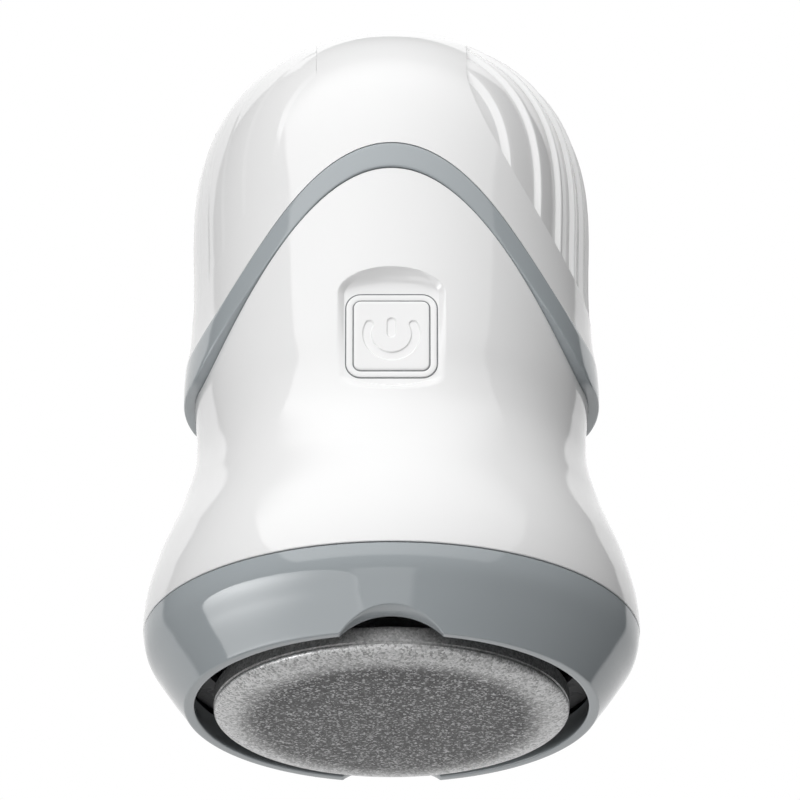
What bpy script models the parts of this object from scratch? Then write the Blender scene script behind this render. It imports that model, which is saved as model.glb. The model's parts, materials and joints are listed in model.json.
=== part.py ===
"""Electric callus remover: a hand-held, battery-driven grinder with a round abrasive disc.

The object stands on its disc.  +Z runs up the handle, the power button faces -Y, and the
origin is the centre of the abrasive face.  All lengths are in metres.
"""

import math

import bmesh
import bpy
import numpy as np
from mathutils import Matrix, Vector

MM = 0.001
GAP = 0.3 * MM                 # play between two pieces that touch
HALF_GAP = GAP / 2

# Bodies of revolution, as (height, radius): the head with the lower housing, and the upper
# cover with the trim band, which stands out a little over the lower housing
LOWER_KNOTS_MM = [(2.3, 34.95), (8.0, 39.0), (12.0, 41.4), (15.0, 42.05), (20.0, 41.85),
                  (27.0, 40.1), (38.0, 35.8), (46.0, 33.65), (51.0, 33.45), (57.0, 33.95),
                  (63.0, 34.25), (72.0, 34.5), (91.0, 34.7)]
UPPER_KNOTS_MM = [(55.0, 35.45), (60.0, 35.65), (64.0, 35.4), (69.0, 34.85), (75.0, 34.55),
                  (88.0, 34.73)]
DOME_BASE_Z = 88.0 * MM
DOME_RADIUS = 34.73 * MM
DOME_HEIGHT = 36.7 * MM
DOME_POWER = 2.5               # superellipse power of the dome's section
WALL = 2.2 * MM
COVER_WALL = 2.7 * MM
SEGMENTS = 40

# Head
LIP_Z = 2.3 * MM
COLLAR_TOP_Z = 15.2 * MM
COLLAR_MOUTH_R = 33.25 * MM
NOTCH_HALF_WIDTH = 8.5 * MM
NOTCH_HEIGHT = 3.7 * MM

# Grinding disc
DISC_R = 30.0 * MM
DISC_FLAT_R = 14.0 * MM
DISC_EDGE_R = 24.5 * MM        # where the rounded edge starts
DISC_CROWN = 0.3 * MM
DISC_EDGE_HEIGHT = 2.0 * MM
DISC_TOP_Z = 5.2 * MM
PAD_THICKNESS = 0.9 * MM
PAD_INNER_R = 28.8 * MM        # the pad is a cup: it also covers the disc's side
SOCKET_TOP_Z = 8.4 * MM
HEX_R = 4.5 * MM               # hub's hexagon, across its corners, halved

# Trim band: its edges rise from the sides to an arch at the front and at the back
BAND_TOP_SIDE_Z = 64.3 * MM
BAND_TOP_RISE = 27.5 * MM
BAND_LOW_SIDE_Z = 57.3 * MM
BAND_LOW_RISE = 29.8 * MM
BAND_WAVES = 1.2
BAND_PROUD = 0.25 * MM
BAND_WALL = 1.9 * MM

# Ribbed grips
GRIP_TIP_Z = 72.0 * MM
GRIP_FULL_Z = 108.0 * MM
GRIP_TOP_X = 12.9 * MM         # half the width of the smooth strip over the dome
GRIP_SPREAD_X = 21.4 * MM
GRIP_POWER = 1.5
GRIP_POCKET = 1.5 * MM
GRIP_SUNK = 0.3 * MM

# Power button, on the front at the waist
BUTTON_Z = 56.7 * MM
BUTTON_SIZE = 12.7 * MM
BEZEL_SIZE = 15.2 * MM
RECESS_WIDTH = 18.2 * MM
RECESS_LOW_Z = 49.3 * MM       # sides of the recess run from here ...
RECESS_TOP_Z = 64.3 * MM       # ... to here, between a shallow sill and a round arch
RECESS_SILL = 2.7 * MM
RECESS_ARCH = 4.2 * MM
RECESS_Y = -32.2 * MM
BEZEL_FRONT_Y = -32.4 * MM
BUTTON_FRONT_Y = -32.6 * MM

# Motor, on the main axis
SHAFT_R = 1.5 * MM
CAN_R = 14.0 * MM
CAN_LOW_Z = 19.8 * MM
CAN_TOP_Z = 42.0 * MM
BULKHEAD_Z = 17.2 * MM
BULKHEAD_THICKNESS = 2.0 * MM
BULKHEAD_R = 39.3 * MM
BUSH_R = 2.9 * MM

# Battery, above the motor
CELL_R = 9.2 * MM
CELL_Y = 1.0 * MM
CELL_LOW_Z = 53.4 * MM
CELL_LENGTH = 65.0 * MM

# Control board, behind the button
BOARD_FRONT_Y = -21.2 * MM
BOARD_THICKNESS = 1.6 * MM
SWITCH_DEPTH = 3.5 * MM

# Charging socket, at the back of the waist
SOCKET_Z = 42.0 * MM
PORT_WIDTH = 9.6 * MM
PORT_HEIGHT = 3.9 * MM

FAR = 60.0 * MM                # reaches past the object on any side


# ---------------------------------------------------------------- scene and helpers

def clear_scene():
    for obj in list(bpy.data.objects):
        bpy.data.objects.remove(obj, do_unlink=True)


def new_collection(name):
    collection = bpy.data.collections.new(name)
    bpy.context.scene.collection.children.link(collection)
    return collection


def new_material(name, colour, roughness, metallic=0.0):
    material = bpy.data.materials.new(name)
    material.use_nodes = True
    shader = material.node_tree.nodes["Principled BSDF"]
    shader.inputs["Base Color"].default_value = (*colour, 1.0)
    shader.inputs["Roughness"].default_value = roughness
    shader.inputs["Metallic"].default_value = metallic
    return material


def place(name, mesh, material):
    """Put a mesh in the scene: as a part when it has a material, else as a cutter."""
    obj = bpy.data.objects.new(name, mesh)
    if material is None:
        CUTTERS.objects.link(obj)
        obj.hide_render = True
        obj.display_type = "WIRE"
    else:
        PARTS.objects.link(obj)
        mesh.materials.append(material)
    return obj


def smooth_by_angle(mesh, degrees=30.0):
    mesh.shade_smooth()
    mesh.set_sharp_from_angle(angle=math.radians(degrees))


def turned(name, profile, material, segments=SEGMENTS, at=(0.0, 0.0, 0.0)):
    """Spin (radius, height) points about Z.  They run down the outer side, then back up
    the inner side; a profile with both ends on the axis stays open there."""
    on_axis = profile[0][0] == 0.0 and profile[-1][0] == 0.0
    count = len(profile)
    edges = [(i, i + 1) for i in range(count - 1)]
    if not on_axis:
        edges.append((count - 1, 0))
    mesh = bpy.data.meshes.new(name)
    mesh.from_pydata([(radius, 0.0, height) for radius, height in profile], edges, [])
    obj = place(name, mesh, material)
    obj.location = at
    screw = obj.modifiers.new("spin", "SCREW")
    screw.steps = segments
    screw.render_steps = segments
    screw.use_merge_vertices = True
    screw.merge_threshold = 0.00001
    screw.use_smooth_shade = False
    return obj


def ring(name, outer_r, inner_r, low_z, top_z, material, segments=24, at=(0.0, 0.0, 0.0)):
    profile = [(outer_r, top_z), (outer_r, low_z), (inner_r, low_z), (inner_r, top_z)]
    return turned(name, profile, material, segments, at)


def outline_solid(name, points_xz, y_low, y_high, material, rounding=0.0):
    """A flat outline in the XZ plane, as a filled 2D curve extruded from y_low to y_high."""
    curve = bpy.data.curves.new(name, "CURVE")
    curve.dimensions = "2D"
    curve.fill_mode = "BOTH"
    curve.extrude = (y_high - y_low) / 2
    spline = curve.splines.new("POLY")
    spline.points.add(len(points_xz) - 1)
    for point, (x, z) in zip(spline.points, points_xz):
        point.co = (x, z, 0.0, 1.0)
    spline.use_cyclic_u = True
    drawn = bpy.data.objects.new(name, curve)
    bpy.context.scene.collection.objects.link(drawn)
    bpy.context.view_layer.update()
    depsgraph = bpy.context.evaluated_depsgraph_get()
    mesh = bpy.data.meshes.new_from_object(drawn.evaluated_get(depsgraph))
    bpy.data.objects.remove(drawn, do_unlink=True)
    bpy.data.curves.remove(curve)
    work = bmesh.new()
    work.from_mesh(mesh)
    bmesh.ops.remove_doubles(work, verts=work.verts, dist=0.000001)
    bmesh.ops.dissolve_limit(work, angle_limit=0.001, verts=work.verts, edges=work.edges)
    bmesh.ops.recalc_face_normals(work, faces=work.faces)
    # the curve lies in XY: stand it up, so that its Y becomes Z
    stand = Matrix.Rotation(math.radians(90), 4, "X")
    bmesh.ops.transform(work, matrix=stand, verts=work.verts)
    work.to_mesh(mesh)
    work.free()
    mesh.materials.clear()
    mesh.name = name
    obj = place(name, mesh, material)
    obj.location = (0.0, (y_low + y_high) / 2, 0.0)
    if rounding:
        bevel(obj, rounding, 1)
    return obj


def block(name, size, centre, material, rounding=0.0):
    mesh = bpy.data.meshes.new(name)
    work = bmesh.new()
    bmesh.ops.create_cube(work, size=1.0, matrix=Matrix.Diagonal((*size, 1.0)))
    work.to_mesh(mesh)
    work.free()
    obj = place(name, mesh, material)
    obj.location = centre
    if rounding:
        bevel(obj, rounding, 1)
    return obj


def rod(name, radius, start, end, material, sides=16):
    """A round bar from start to end, with its origin half way."""
    start = Vector(start)
    end = Vector(end)
    mesh = bpy.data.meshes.new(name)
    work = bmesh.new()
    bmesh.ops.create_cone(work, cap_ends=True, segments=sides, radius1=radius,
                          radius2=radius, depth=(end - start).length)
    turn = (end - start).to_track_quat("Z", "Y").to_matrix().to_4x4()
    bmesh.ops.transform(work, matrix=turn, verts=work.verts)
    work.to_mesh(mesh)
    work.free()
    smooth_by_angle(mesh)
    obj = place(name, mesh, material)
    obj.location = (start + end) / 2
    return obj


def bevel(obj, width, segments):
    modifier = obj.modifiers.new("rounding", "BEVEL")
    modifier.width = width
    modifier.segments = segments
    modifier.limit_method = "ANGLE"
    modifier.angle_limit = math.radians(50)


def combine(obj, tool, operation="DIFFERENCE"):
    modifier = obj.modifiers.new(tool.name, "BOOLEAN")
    modifier.operation = operation
    modifier.solver = "EXACT"
    modifier.object = tool


def join_copies(name, source, matrices):
    """One cutter made of copies of a cutter's mesh, so that one Boolean makes them all."""
    work = bmesh.new()
    base = source.data.copy()
    base.transform(Matrix.Translation(source.location))
    for matrix in matrices:
        copy = base.copy()
        copy.transform(matrix)
        work.from_mesh(copy)
        bpy.data.meshes.remove(copy)
    bpy.data.meshes.remove(base)
    mesh = bpy.data.meshes.new(name)
    work.to_mesh(mesh)
    work.free()
    bpy.data.objects.remove(source, do_unlink=True)
    return place(name, mesh, None)


def spins(count, start_degrees=0.0):
    return [Matrix.Rotation(math.radians(start_degrees + 360.0 * i / count), 4, "Z")
            for i in range(count)]


def wire(name, route, material, radius=0.6 * MM, per_span=3):
    """An insulated lead: a thin tube on a smooth curve through its route's points."""
    points = [Vector(point) for point in route]
    padded = [points[0] * 2 - points[1], *points, points[-1] * 2 - points[-2]]
    path = []
    for i in range(len(points) - 1):
        a, b, c, d = padded[i:i + 4]
        for step in range(per_span):
            t = step / per_span
            path.append(0.5 * (2 * b + (c - a) * t + (2 * a - 5 * b + 4 * c - d) * t * t
                               + (3 * b - a - 3 * c + d) * t ** 3))
    path.append(points[-1])
    curve = bpy.data.curves.new(name, "CURVE")
    curve.dimensions = "3D"
    curve.bevel_depth = radius
    curve.bevel_resolution = 2
    curve.use_fill_caps = True
    spline = curve.splines.new("POLY")
    spline.points.add(len(path) - 1)
    for point, position in zip(spline.points, path):
        point.co = (*position, 1.0)
    curve.materials.append(material)
    obj = bpy.data.objects.new(name, curve)
    PARTS.objects.link(obj)
    return obj


# ---------------------------------------------------------------- shared outlines

def body_radius(z, knots=LOWER_KNOTS_MM):
    """Outer radius at height z: a cubic through the knots; the upper cover ends in the dome."""
    if knots is UPPER_KNOTS_MM and z >= DOME_BASE_Z:
        share = min((z - DOME_BASE_Z) / DOME_HEIGHT, 1.0)
        return DOME_RADIUS * (1.0 - share ** DOME_POWER) ** (1.0 / DOME_POWER)
    heights = [knot[0] * MM for knot in knots]
    radii = [knot[1] * MM for knot in knots]
    slopes = np.gradient(radii, heights)
    i = int(np.clip(np.searchsorted(heights, z) - 1, 0, len(heights) - 2))
    span = heights[i + 1] - heights[i]
    t = (z - heights[i]) / span
    return float((2 * t ** 3 - 3 * t ** 2 + 1) * radii[i] + (t ** 3 - 2 * t ** 2 + t) * span * slopes[i]
                 + (3 * t ** 2 - 2 * t ** 3) * radii[i + 1] + (t ** 3 - t ** 2) * span * slopes[i + 1])


def body_side(low_z, top_z, count, inset=0.0, knots=LOWER_KNOTS_MM):
    """(radius, height) points down the body's side, evenly spaced in height."""
    return [(body_radius(z, knots) - inset, z) for z in np.linspace(top_z, low_z, count)]


def cover_side(low_z, count, inset=0.0):
    """(radius, height) points down the dome and on down the upper cover's straight side."""
    side = body_side(low_z, DOME_BASE_Z - 2.0 * MM, 5, inset, UPPER_KNOTS_MM)
    return dome_side(count, inset) + side


def dome_side(count, inset=0.0):
    """(radius, height) points from the crown of the dome down to its base, set in evenly."""
    points = []
    for angle in np.linspace(math.pi / 2, 0.0, count):
        across = abs(math.cos(angle)) ** (2.0 / DOME_POWER)
        up = abs(math.sin(angle)) ** (2.0 / DOME_POWER)
        points.append(((DOME_RADIUS - inset) * across, DOME_BASE_Z + (DOME_HEIGHT - inset) * up))
    points[0] = (0.0, points[0][1])
    return points


def shell_profile(outer, inner):
    """A closed profile: down the outer points, then back up the inner ones."""
    return outer + inner[::-1]


def band_edge(side_z, rise, shift):
    """(x, z) of one edge of the trim band as seen from the front, left to right."""
    edge = []
    for degrees in np.linspace(-75.0, 75.0, 21):
        z = side_z + rise * math.cos(math.radians(BAND_WAVES * degrees)) ** 2 + shift
        edge.append((body_radius(z, UPPER_KNOTS_MM) * math.sin(math.radians(degrees)), z))
    flat_z = side_z + shift
    return [(-FAR, flat_z), *edge, (FAR, flat_z)]


def grip_outline(side, inset):
    """(x, z) outline of the area that a ribbed grip covers; side is -1 or 1."""
    points = []
    for share in np.linspace(0.0, 1.0, 12):
        z = GRIP_TIP_Z + share * (GRIP_FULL_Z - GRIP_TIP_Z)
        x = GRIP_TOP_X + GRIP_SPREAD_X * (1.0 - share) ** GRIP_POWER
        points.append((side * (x + inset), z + inset))
    points += [(side * (GRIP_TOP_X + inset), 2 * FAR + FAR / 2), (side * FAR, 2 * FAR + FAR / 2),
               (side * FAR, GRIP_TIP_Z + inset)]
    return points


def rounded_square(size, corner, centre_z, steps=3):
    """(x, z) outline of a square with round corners."""
    half = size / 2 - corner
    points = []
    for quarter in range(4):
        middle = math.radians(45 + 90 * quarter)
        centre = (math.copysign(half, math.cos(middle)), math.copysign(half, math.sin(middle)))
        for step in range(steps + 1):
            angle = math.radians(90 * quarter + 90 * step / steps)
            points.append((centre[0] + corner * math.cos(angle),
                           centre_z + centre[1] + corner * math.sin(angle)))
    return points


# ---------------------------------------------------------------- housing

def make_lower_housing():
    outer = body_side(COLLAR_TOP_Z + HALF_GAP, 90.0 * MM, 18)
    inner = body_side(COLLAR_TOP_Z + HALF_GAP, 90.0 * MM, 10, WALL)
    housing = turned("lower_housing", shell_profile(outer, inner), WHITE)
    below = band_edge(BAND_LOW_SIDE_Z, BAND_LOW_RISE, -HALF_GAP) + [(FAR, 0.0), (-FAR, 0.0)]
    combine(housing, outline_solid("below_band", below, -FAR, FAR, None), "INTERSECT")
    backing = block("recess_backing", (22.0 * MM, 8.0 * MM, 26.0 * MM), (0.0, -34.2 * MM, 57.0 * MM), None)
    core = body_side(40.0 * MM, 74.0 * MM, 9, 0.6 * MM)
    core = turned("waist_core", [(0.0, 74.0 * MM)] + core + [(0.0, 40.0 * MM)], None)
    combine(backing, core, "INTERSECT")
    combine(housing, backing, "UNION")
    half = RECESS_WIDTH / 2
    recess = [(half * math.cos(a), RECESS_TOP_Z + RECESS_ARCH * math.sin(a))
              for a in np.linspace(0.0, math.pi, 9)]
    recess += [(half * math.cos(a), RECESS_LOW_Z + RECESS_SILL * math.sin(a))
               for a in np.linspace(math.pi, 2 * math.pi, 7)]
    combine(housing, outline_solid("button_recess", recess, -FAR, RECESS_Y, None))
    hole = rounded_square(BEZEL_SIZE + 2 * GAP, 2.6 * MM, BUTTON_Z)
    combine(housing, outline_solid("bezel_hole", hole, -FAR, -20.0 * MM, None))
    port = stadium(PORT_WIDTH, PORT_HEIGHT, SOCKET_Z)
    combine(housing, outline_solid("charging_hole", port, 20.0 * MM, FAR, None))
    boss = ring("boss", 3.4 * MM, 1.4 * MM, BULKHEAD_Z + BULKHEAD_THICKNESS + GAP, 31.0 * MM, None, 12,
                (35.0 * MM, 0.0, 0.0))
    bpy.context.view_layer.update()
    depsgraph = bpy.context.evaluated_depsgraph_get()
    solid = place("boss_solid", bpy.data.meshes.new_from_object(boss.evaluated_get(depsgraph)), None)
    solid.location = boss.location
    bpy.data.objects.remove(boss, do_unlink=True)
    combine(housing, join_copies("bosses", solid, spins(4, 45.0)), "UNION")


def stadium(width, height, centre_z, steps=6):
    """(x, z) outline of a slot with round ends."""
    radius = height / 2
    reach = width / 2 - radius
    right = [(reach + radius * math.cos(a), centre_z + radius * math.sin(a))
             for a in np.linspace(-math.pi / 2, math.pi / 2, steps + 1)]
    left = [(-x, 2 * centre_z - z) for x, z in right]
    return right + left


def make_upper_cover():
    outer = cover_side(62.0 * MM, 11)
    inner = cover_side(62.0 * MM, 8, COVER_WALL)
    cover = turned("upper_cover", shell_profile(outer, inner), WHITE)
    above = band_edge(BAND_TOP_SIDE_Z, BAND_TOP_RISE, HALF_GAP) + [(FAR, 150.0 * MM), (-FAR, 150.0 * MM)]
    combine(cover, outline_solid("above_band", above, -FAR, FAR, None), "INTERSECT")
    for side, word in ((-1, "left"), (1, "right")):
        pocket_outer = cover_side(66.0 * MM, 11, -5.0 * MM)
        pocket_inner = cover_side(66.0 * MM, 11, GRIP_POCKET)
        pocket = turned("pocket_" + word, shell_profile(pocket_outer, pocket_inner), None)
        area = outline_solid("pocket_area_" + word, grip_outline(side, 0.0), -FAR, FAR, None)
        combine(pocket, area, "INTERSECT")
        combine(cover, pocket)
    return cover


def make_grip(side, word):
    outer = cover_side(66.0 * MM, 11, GRIP_SUNK)
    inner = cover_side(66.0 * MM, 11, GRIP_POCKET - GAP)
    grip = turned("grip_" + word, shell_profile(outer, inner), WHITE)
    area = outline_solid("grip_area_" + word, grip_outline(side, 0.25 * MM), -FAR, FAR, None)
    combine(grip, area, "INTERSECT")
    return grip


def make_trim_band():
    outer = body_side(55.0 * MM, 93.0 * MM, 11, -BAND_PROUD, UPPER_KNOTS_MM)
    inner = body_side(55.0 * MM, 93.0 * MM, 6, BAND_WALL, UPPER_KNOTS_MM)
    band = turned("trim_band", shell_profile(outer, inner), BLUE_GREY)
    top = band_edge(BAND_TOP_SIDE_Z, BAND_TOP_RISE, -HALF_GAP)
    low = band_edge(BAND_LOW_SIDE_Z, BAND_LOW_RISE, HALF_GAP)
    combine(band, outline_solid("band_strip", top + low[::-1], -FAR, FAR, None), "INTERSECT")
    return band


def make_joining_ring():
    joint = ring("joining_ring", 31.6 * MM, 30.0 * MM, 58.0 * MM, 70.0 * MM, BLACK, 32)
    opening = block("ring_opening", (24.0 * MM, 20.0 * MM, 20.0 * MM), (0.0, -32.0 * MM, 64.0 * MM), None)
    combine(joint, opening)
    return joint


def make_head_collar():
    outer = body_side(LIP_Z, COLLAR_TOP_Z - HALF_GAP, 8)
    inner = [(39.8 * MM, COLLAR_TOP_Z - HALF_GAP), (39.6 * MM, 12.5 * MM), (36.8 * MM, 9.0 * MM),
             (34.4 * MM, 7.4 * MM), (COLLAR_MOUTH_R, LIP_Z)]
    collar = turned("head_collar", shell_profile(outer, inner), BLUE_GREY)
    # the notch is a segment of a circle
    arc_r = (NOTCH_HALF_WIDTH ** 2 + NOTCH_HEIGHT ** 2) / (2 * NOTCH_HEIGHT)
    reach = math.asin(NOTCH_HALF_WIDTH / arc_r)
    notch = [(arc_r * math.sin(a), LIP_Z + NOTCH_HEIGHT - arc_r + arc_r * math.cos(a))
             for a in np.linspace(-reach, reach, 13)]
    notch += [(NOTCH_HALF_WIDTH, -5.0 * MM), (-NOTCH_HALF_WIDTH, -5.0 * MM)]
    combine(collar, outline_solid("finger_notch", notch, -FAR, FAR, None))
    return collar


def make_guard_plate():
    plate = ring("guard_plate", 35.6 * MM, 20.0 * MM, 9.3 * MM, 10.7 * MM, DARK, 32)
    bore = ring("octagon", 32.2 * MM, 1.0 * MM, 8.0 * MM, 12.0 * MM, None, 8)
    combine(plate, bore)
    return plate


# ---------------------------------------------------------------- button and electronics

def make_button():
    bezel_outline = rounded_square(BEZEL_SIZE, 2.5 * MM, BUTTON_Z)
    bezel = outline_solid("button_bezel", bezel_outline, BEZEL_FRONT_Y, -29.8 * MM, WHITE)
    hole = rounded_square(BUTTON_SIZE + 2 * GAP, 1.4 * MM, BUTTON_Z)
    combine(bezel, outline_solid("button_hole", hole, -FAR, 0.0, None))
    cap = outline_solid("power_button", rounded_square(BUTTON_SIZE, 1.2 * MM, BUTTON_Z),
                        BUTTON_FRONT_Y, -30.6 * MM, WHITE)
    stem = rod("button_stem", 2.0 * MM, (0.0, -32.0 * MM, BUTTON_Z), (0.0, -26.9 * MM, BUTTON_Z), None)
    combine(cap, stem, "UNION")
    membrane = block("button_membrane", (18.4 * MM, 0.8 * MM, 18.4 * MM), (0.0, -28.6 * MM, BUTTON_Z),
                     RUBBER)
    hole = rod("membrane_hole", 2.4 * MM, (0.0, -31.0 * MM, BUTTON_Z), (0.0, -26.0 * MM, BUTTON_Z), None)
    combine(membrane, hole)


def make_control_board():
    middle_y = BOARD_FRONT_Y + BOARD_THICKNESS / 2
    block("control_board", (30.0 * MM, BOARD_THICKNESS, 40.0 * MM), (0.0, middle_y, 61.0 * MM), GREEN)
    front = BOARD_FRONT_Y - GAP
    body = block("tactile_switch", (6.0 * MM, SWITCH_DEPTH, 6.0 * MM),
                 (0.0, front - SWITCH_DEPTH / 2, BUTTON_Z), BLACK)
    plunger = rod("switch_plunger", 1.6 * MM, (0.0, front - 1.0 * MM, BUTTON_Z),
                  (0.0, front - SWITCH_DEPTH - 0.9 * MM, BUTTON_Z), None, 12)
    combine(body, plunger, "UNION")
    block("driver_chip", (6.0 * MM, 1.4 * MM, 5.0 * MM), (-8.0 * MM, front - 0.7 * MM, 70.0 * MM), BLACK)
    rod("smoothing_capacitor", 2.5 * MM, (8.5 * MM, front, 69.0 * MM),
        (8.5 * MM, front - 5.5 * MM, 69.0 * MM), ALUMINIUM, 12)


def make_charging():
    block("charging_board", (15.0 * MM, 13.6 * MM, 1.4 * MM), (0.0, 24.2 * MM, 39.3 * MM), GREEN)
    low_z = SOCKET_Z - 1.63 * MM
    top_z = SOCKET_Z + 1.63 * MM
    shell = outline_solid("charging_socket", stadium(8.94 * MM, top_z - low_z, SOCKET_Z),
                          23.6 * MM, 31.6 * MM, STEEL)
    mouth = outline_solid("socket_mouth", stadium(8.3 * MM, 2.56 * MM, SOCKET_Z), 25.2 * MM, FAR, None)
    combine(shell, mouth)
    tongue = block("socket_tongue", (6.7 * MM, 6.0 * MM, 0.7 * MM), (0.0, 27.6 * MM, SOCKET_Z), None)
    combine(shell, tongue, "UNION")


def make_battery():
    at = (0.0, CELL_Y, 0.0)
    top_z = CELL_LOW_Z + CELL_LENGTH
    cell = [(0.0, top_z), (3.0 * MM, top_z), (3.4 * MM, top_z - 1.2 * MM), (CELL_R - 0.6 * MM, top_z - 1.2 * MM),
            (CELL_R, top_z - 1.8 * MM), (CELL_R, CELL_LOW_Z + 0.5 * MM), (CELL_R - 0.5 * MM, CELL_LOW_Z),
            (0.0, CELL_LOW_Z)]
    turned("battery_cell", cell, BLUE, 24, at)
    end_gap = 0.8 * MM
    low_z = CELL_LOW_Z - end_gap
    high_z = top_z + end_gap
    wall = 0.8 * MM
    holder_r = CELL_R + GAP + 1.5 * MM
    holder = turned("battery_holder", [(0.0, high_z + wall), (holder_r, high_z + wall),
                                       (holder_r, low_z - wall), (0.0, low_z - wall)], BLACK, 24, at)
    hollow = turned("cell_space", [(0.0, high_z), (CELL_R + GAP, high_z), (CELL_R + GAP, low_z),
                                   (0.0, low_z)], None, 24, at)
    combine(holder, hollow)
    front = block("holder_front", (FAR, FAR, 2 * FAR), (0.0, CELL_Y - 3.0 * MM - FAR / 2, 90.0 * MM), None)
    combine(holder, front)
    for word, z in (("top", top_z + 0.4 * MM), ("bottom", CELL_LOW_Z - 0.4 * MM)):
        block("battery_contact_" + word, (5.0 * MM, 9.0 * MM, 0.2 * MM), (0.0, CELL_Y + 1.0 * MM, z), STEEL)


# ---------------------------------------------------------------- motor and drive

def make_motor():
    can = [(CAN_R, CAN_TOP_Z), (CAN_R, CAN_LOW_Z), (BUSH_R + GAP, CAN_LOW_Z),
           (BUSH_R + GAP, CAN_LOW_Z + 1.0 * MM), (CAN_R - 1.0 * MM, CAN_LOW_Z + 1.0 * MM),
           (CAN_R - 1.0 * MM, CAN_TOP_Z)]
    turned("motor_can", can, STEEL, 32)
    cap_z = CAN_TOP_Z + GAP
    ring("motor_end_cap", CAN_R, BUSH_R + GAP, cap_z, cap_z + 2.0 * MM, BLACK, 32)
    bush_bore = SHAFT_R + 0.1 * MM
    ring("motor_bush_front", BUSH_R, bush_bore, CAN_LOW_Z - 0.3 * MM, CAN_LOW_Z + 2.6 * MM, BRASS)
    ring("motor_bush_rear", BUSH_R, bush_bore, cap_z - 0.6 * MM, cap_z + 2.6 * MM, BRASS)
    for side, word in ((-1, "left"), (1, "right")):
        magnet = ring("motor_magnet_" + word, 12.7 * MM, 10.2 * MM, 24.0 * MM, 39.5 * MM, DARK, 32)
        span = block("magnet_span_" + word, (FAR, 24.0 * MM, FAR),
                     (side * (4.0 * MM + FAR / 2), 0.0, 32.0 * MM), None)
        combine(magnet, span, "INTERSECT")
        block("motor_terminal_" + word, (2.4 * MM, 0.6 * MM, 4.0 * MM),
              (side * 7.5 * MM, 6.0 * MM, cap_z + 2.0 * MM + GAP + 2.0 * MM), BRASS)


def make_rotor():
    rod("motor_shaft", SHAFT_R, (0.0, 0.0, 12.6 * MM), (0.0, 0.0, 45.6 * MM), STEEL, 24)
    bore = SHAFT_R + GAP
    armature = ring("motor_armature", 9.4 * MM, bore, 24.5 * MM, 38.3 * MM, COPPER)
    slot = block("armature_slot", (8.0 * MM, 2.2 * MM, FAR), (9.5 * MM, 0.0, 32.0 * MM), None)
    combine(armature, join_copies("armature_slots", slot, spins(3, 30.0)))
    ring("commutator", 3.4 * MM, bore, 38.7 * MM, 41.2 * MM, COPPER, 16)

    hub_profile = [(7.5 * MM, 12.0 * MM), (7.5 * MM, 10.2 * MM), (0.0, 10.2 * MM)]
    hub = turned("drive_hub", [(0.0, 12.3 * MM), (4.4 * MM, 12.3 * MM), (4.4 * MM, 12.0 * MM)] + hub_profile,
                 STEEL, 24)
    hexagon = turned("hub_hexagon", [(0.0, 11.0 * MM), (HEX_R, 11.0 * MM), (HEX_R, 3.9 * MM),
                                     (0.0, 3.9 * MM)], None, 6)
    combine(hub, hexagon, "UNION")

    fan = turned("suction_fan", [(25.0 * MM, 15.6 * MM), (25.0 * MM, 14.6 * MM), (7.0 * MM, 14.6 * MM),
                                 (7.0 * MM, 12.7 * MM), (bore, 12.7 * MM), (bore, 16.2 * MM),
                                 (4.0 * MM, 16.2 * MM), (4.0 * MM, 15.6 * MM)], WHITE, 32)
    blade = block("fan_blade", (17.0 * MM, 1.0 * MM, 3.0 * MM), (16.0 * MM, 3.0 * MM, 13.4 * MM), None)
    combine(fan, join_copies("fan_blades", blade, spins(8)), "UNION")


def face_z(radius):
    """Height of the abrasive face at a radius: flat, a slight crown, then a round edge."""
    if radius <= DISC_FLAT_R:
        return 0.0
    if radius <= DISC_EDGE_R:
        return DISC_CROWN * ((radius - DISC_FLAT_R) / (DISC_EDGE_R - DISC_FLAT_R)) ** 2
    across = min((radius - DISC_EDGE_R) / (DISC_R - DISC_EDGE_R), 1.0)
    return DISC_CROWN + (DISC_EDGE_HEIGHT - DISC_CROWN) * (1.0 - math.sqrt(1.0 - across ** 2))


def make_grinding_disc():
    radii = [DISC_R, 29.2 * MM, 27.5 * MM, DISC_EDGE_R, DISC_FLAT_R]
    face = [(radius, face_z(radius)) for radius in radii]
    chamfer = 0.4 * MM
    corner_z = 3.0 * MM        # where the inside of the cup turns from its floor to its side
    floor = [(DISC_FLAT_R, PAD_THICKNESS), (DISC_EDGE_R, DISC_CROWN + PAD_THICKNESS),
             (PAD_INNER_R - 0.8 * MM, 2.0 * MM), (PAD_INNER_R, corner_z), (PAD_INNER_R, DISC_TOP_Z)]
    side = [(DISC_R - chamfer, DISC_TOP_Z), (DISC_R, DISC_TOP_Z - chamfer)]
    turned("abrasive_pad", [(0.0, PAD_THICKNESS)] + floor + side + face + [(0.0, 0.0)], GRIT)
    carrier = [(0.0, DISC_TOP_Z), (PAD_INNER_R - GAP, DISC_TOP_Z), (PAD_INNER_R - GAP, corner_z + GAP)]
    carrier += [(radius - GAP, z + GAP) for radius, z in floor[2::-1]]
    carrier += [(0.0, PAD_THICKNESS + GAP)]
    disc = turned("disc_carrier", carrier, GREY)
    boss = turned("socket_boss", [(0.0, SOCKET_TOP_Z), (8.0 * MM, SOCKET_TOP_Z), (8.0 * MM, 4.0 * MM),
                                  (0.0, 4.0 * MM)], None, 24)
    combine(disc, boss, "UNION")
    hexagon = turned("socket_hexagon", [(0.0, 10.0 * MM), (HEX_R + 0.35 * MM, 10.0 * MM),
                                        (HEX_R + 0.35 * MM, 3.4 * MM), (0.0, 3.4 * MM)], None, 6)
    combine(disc, hexagon)


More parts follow.
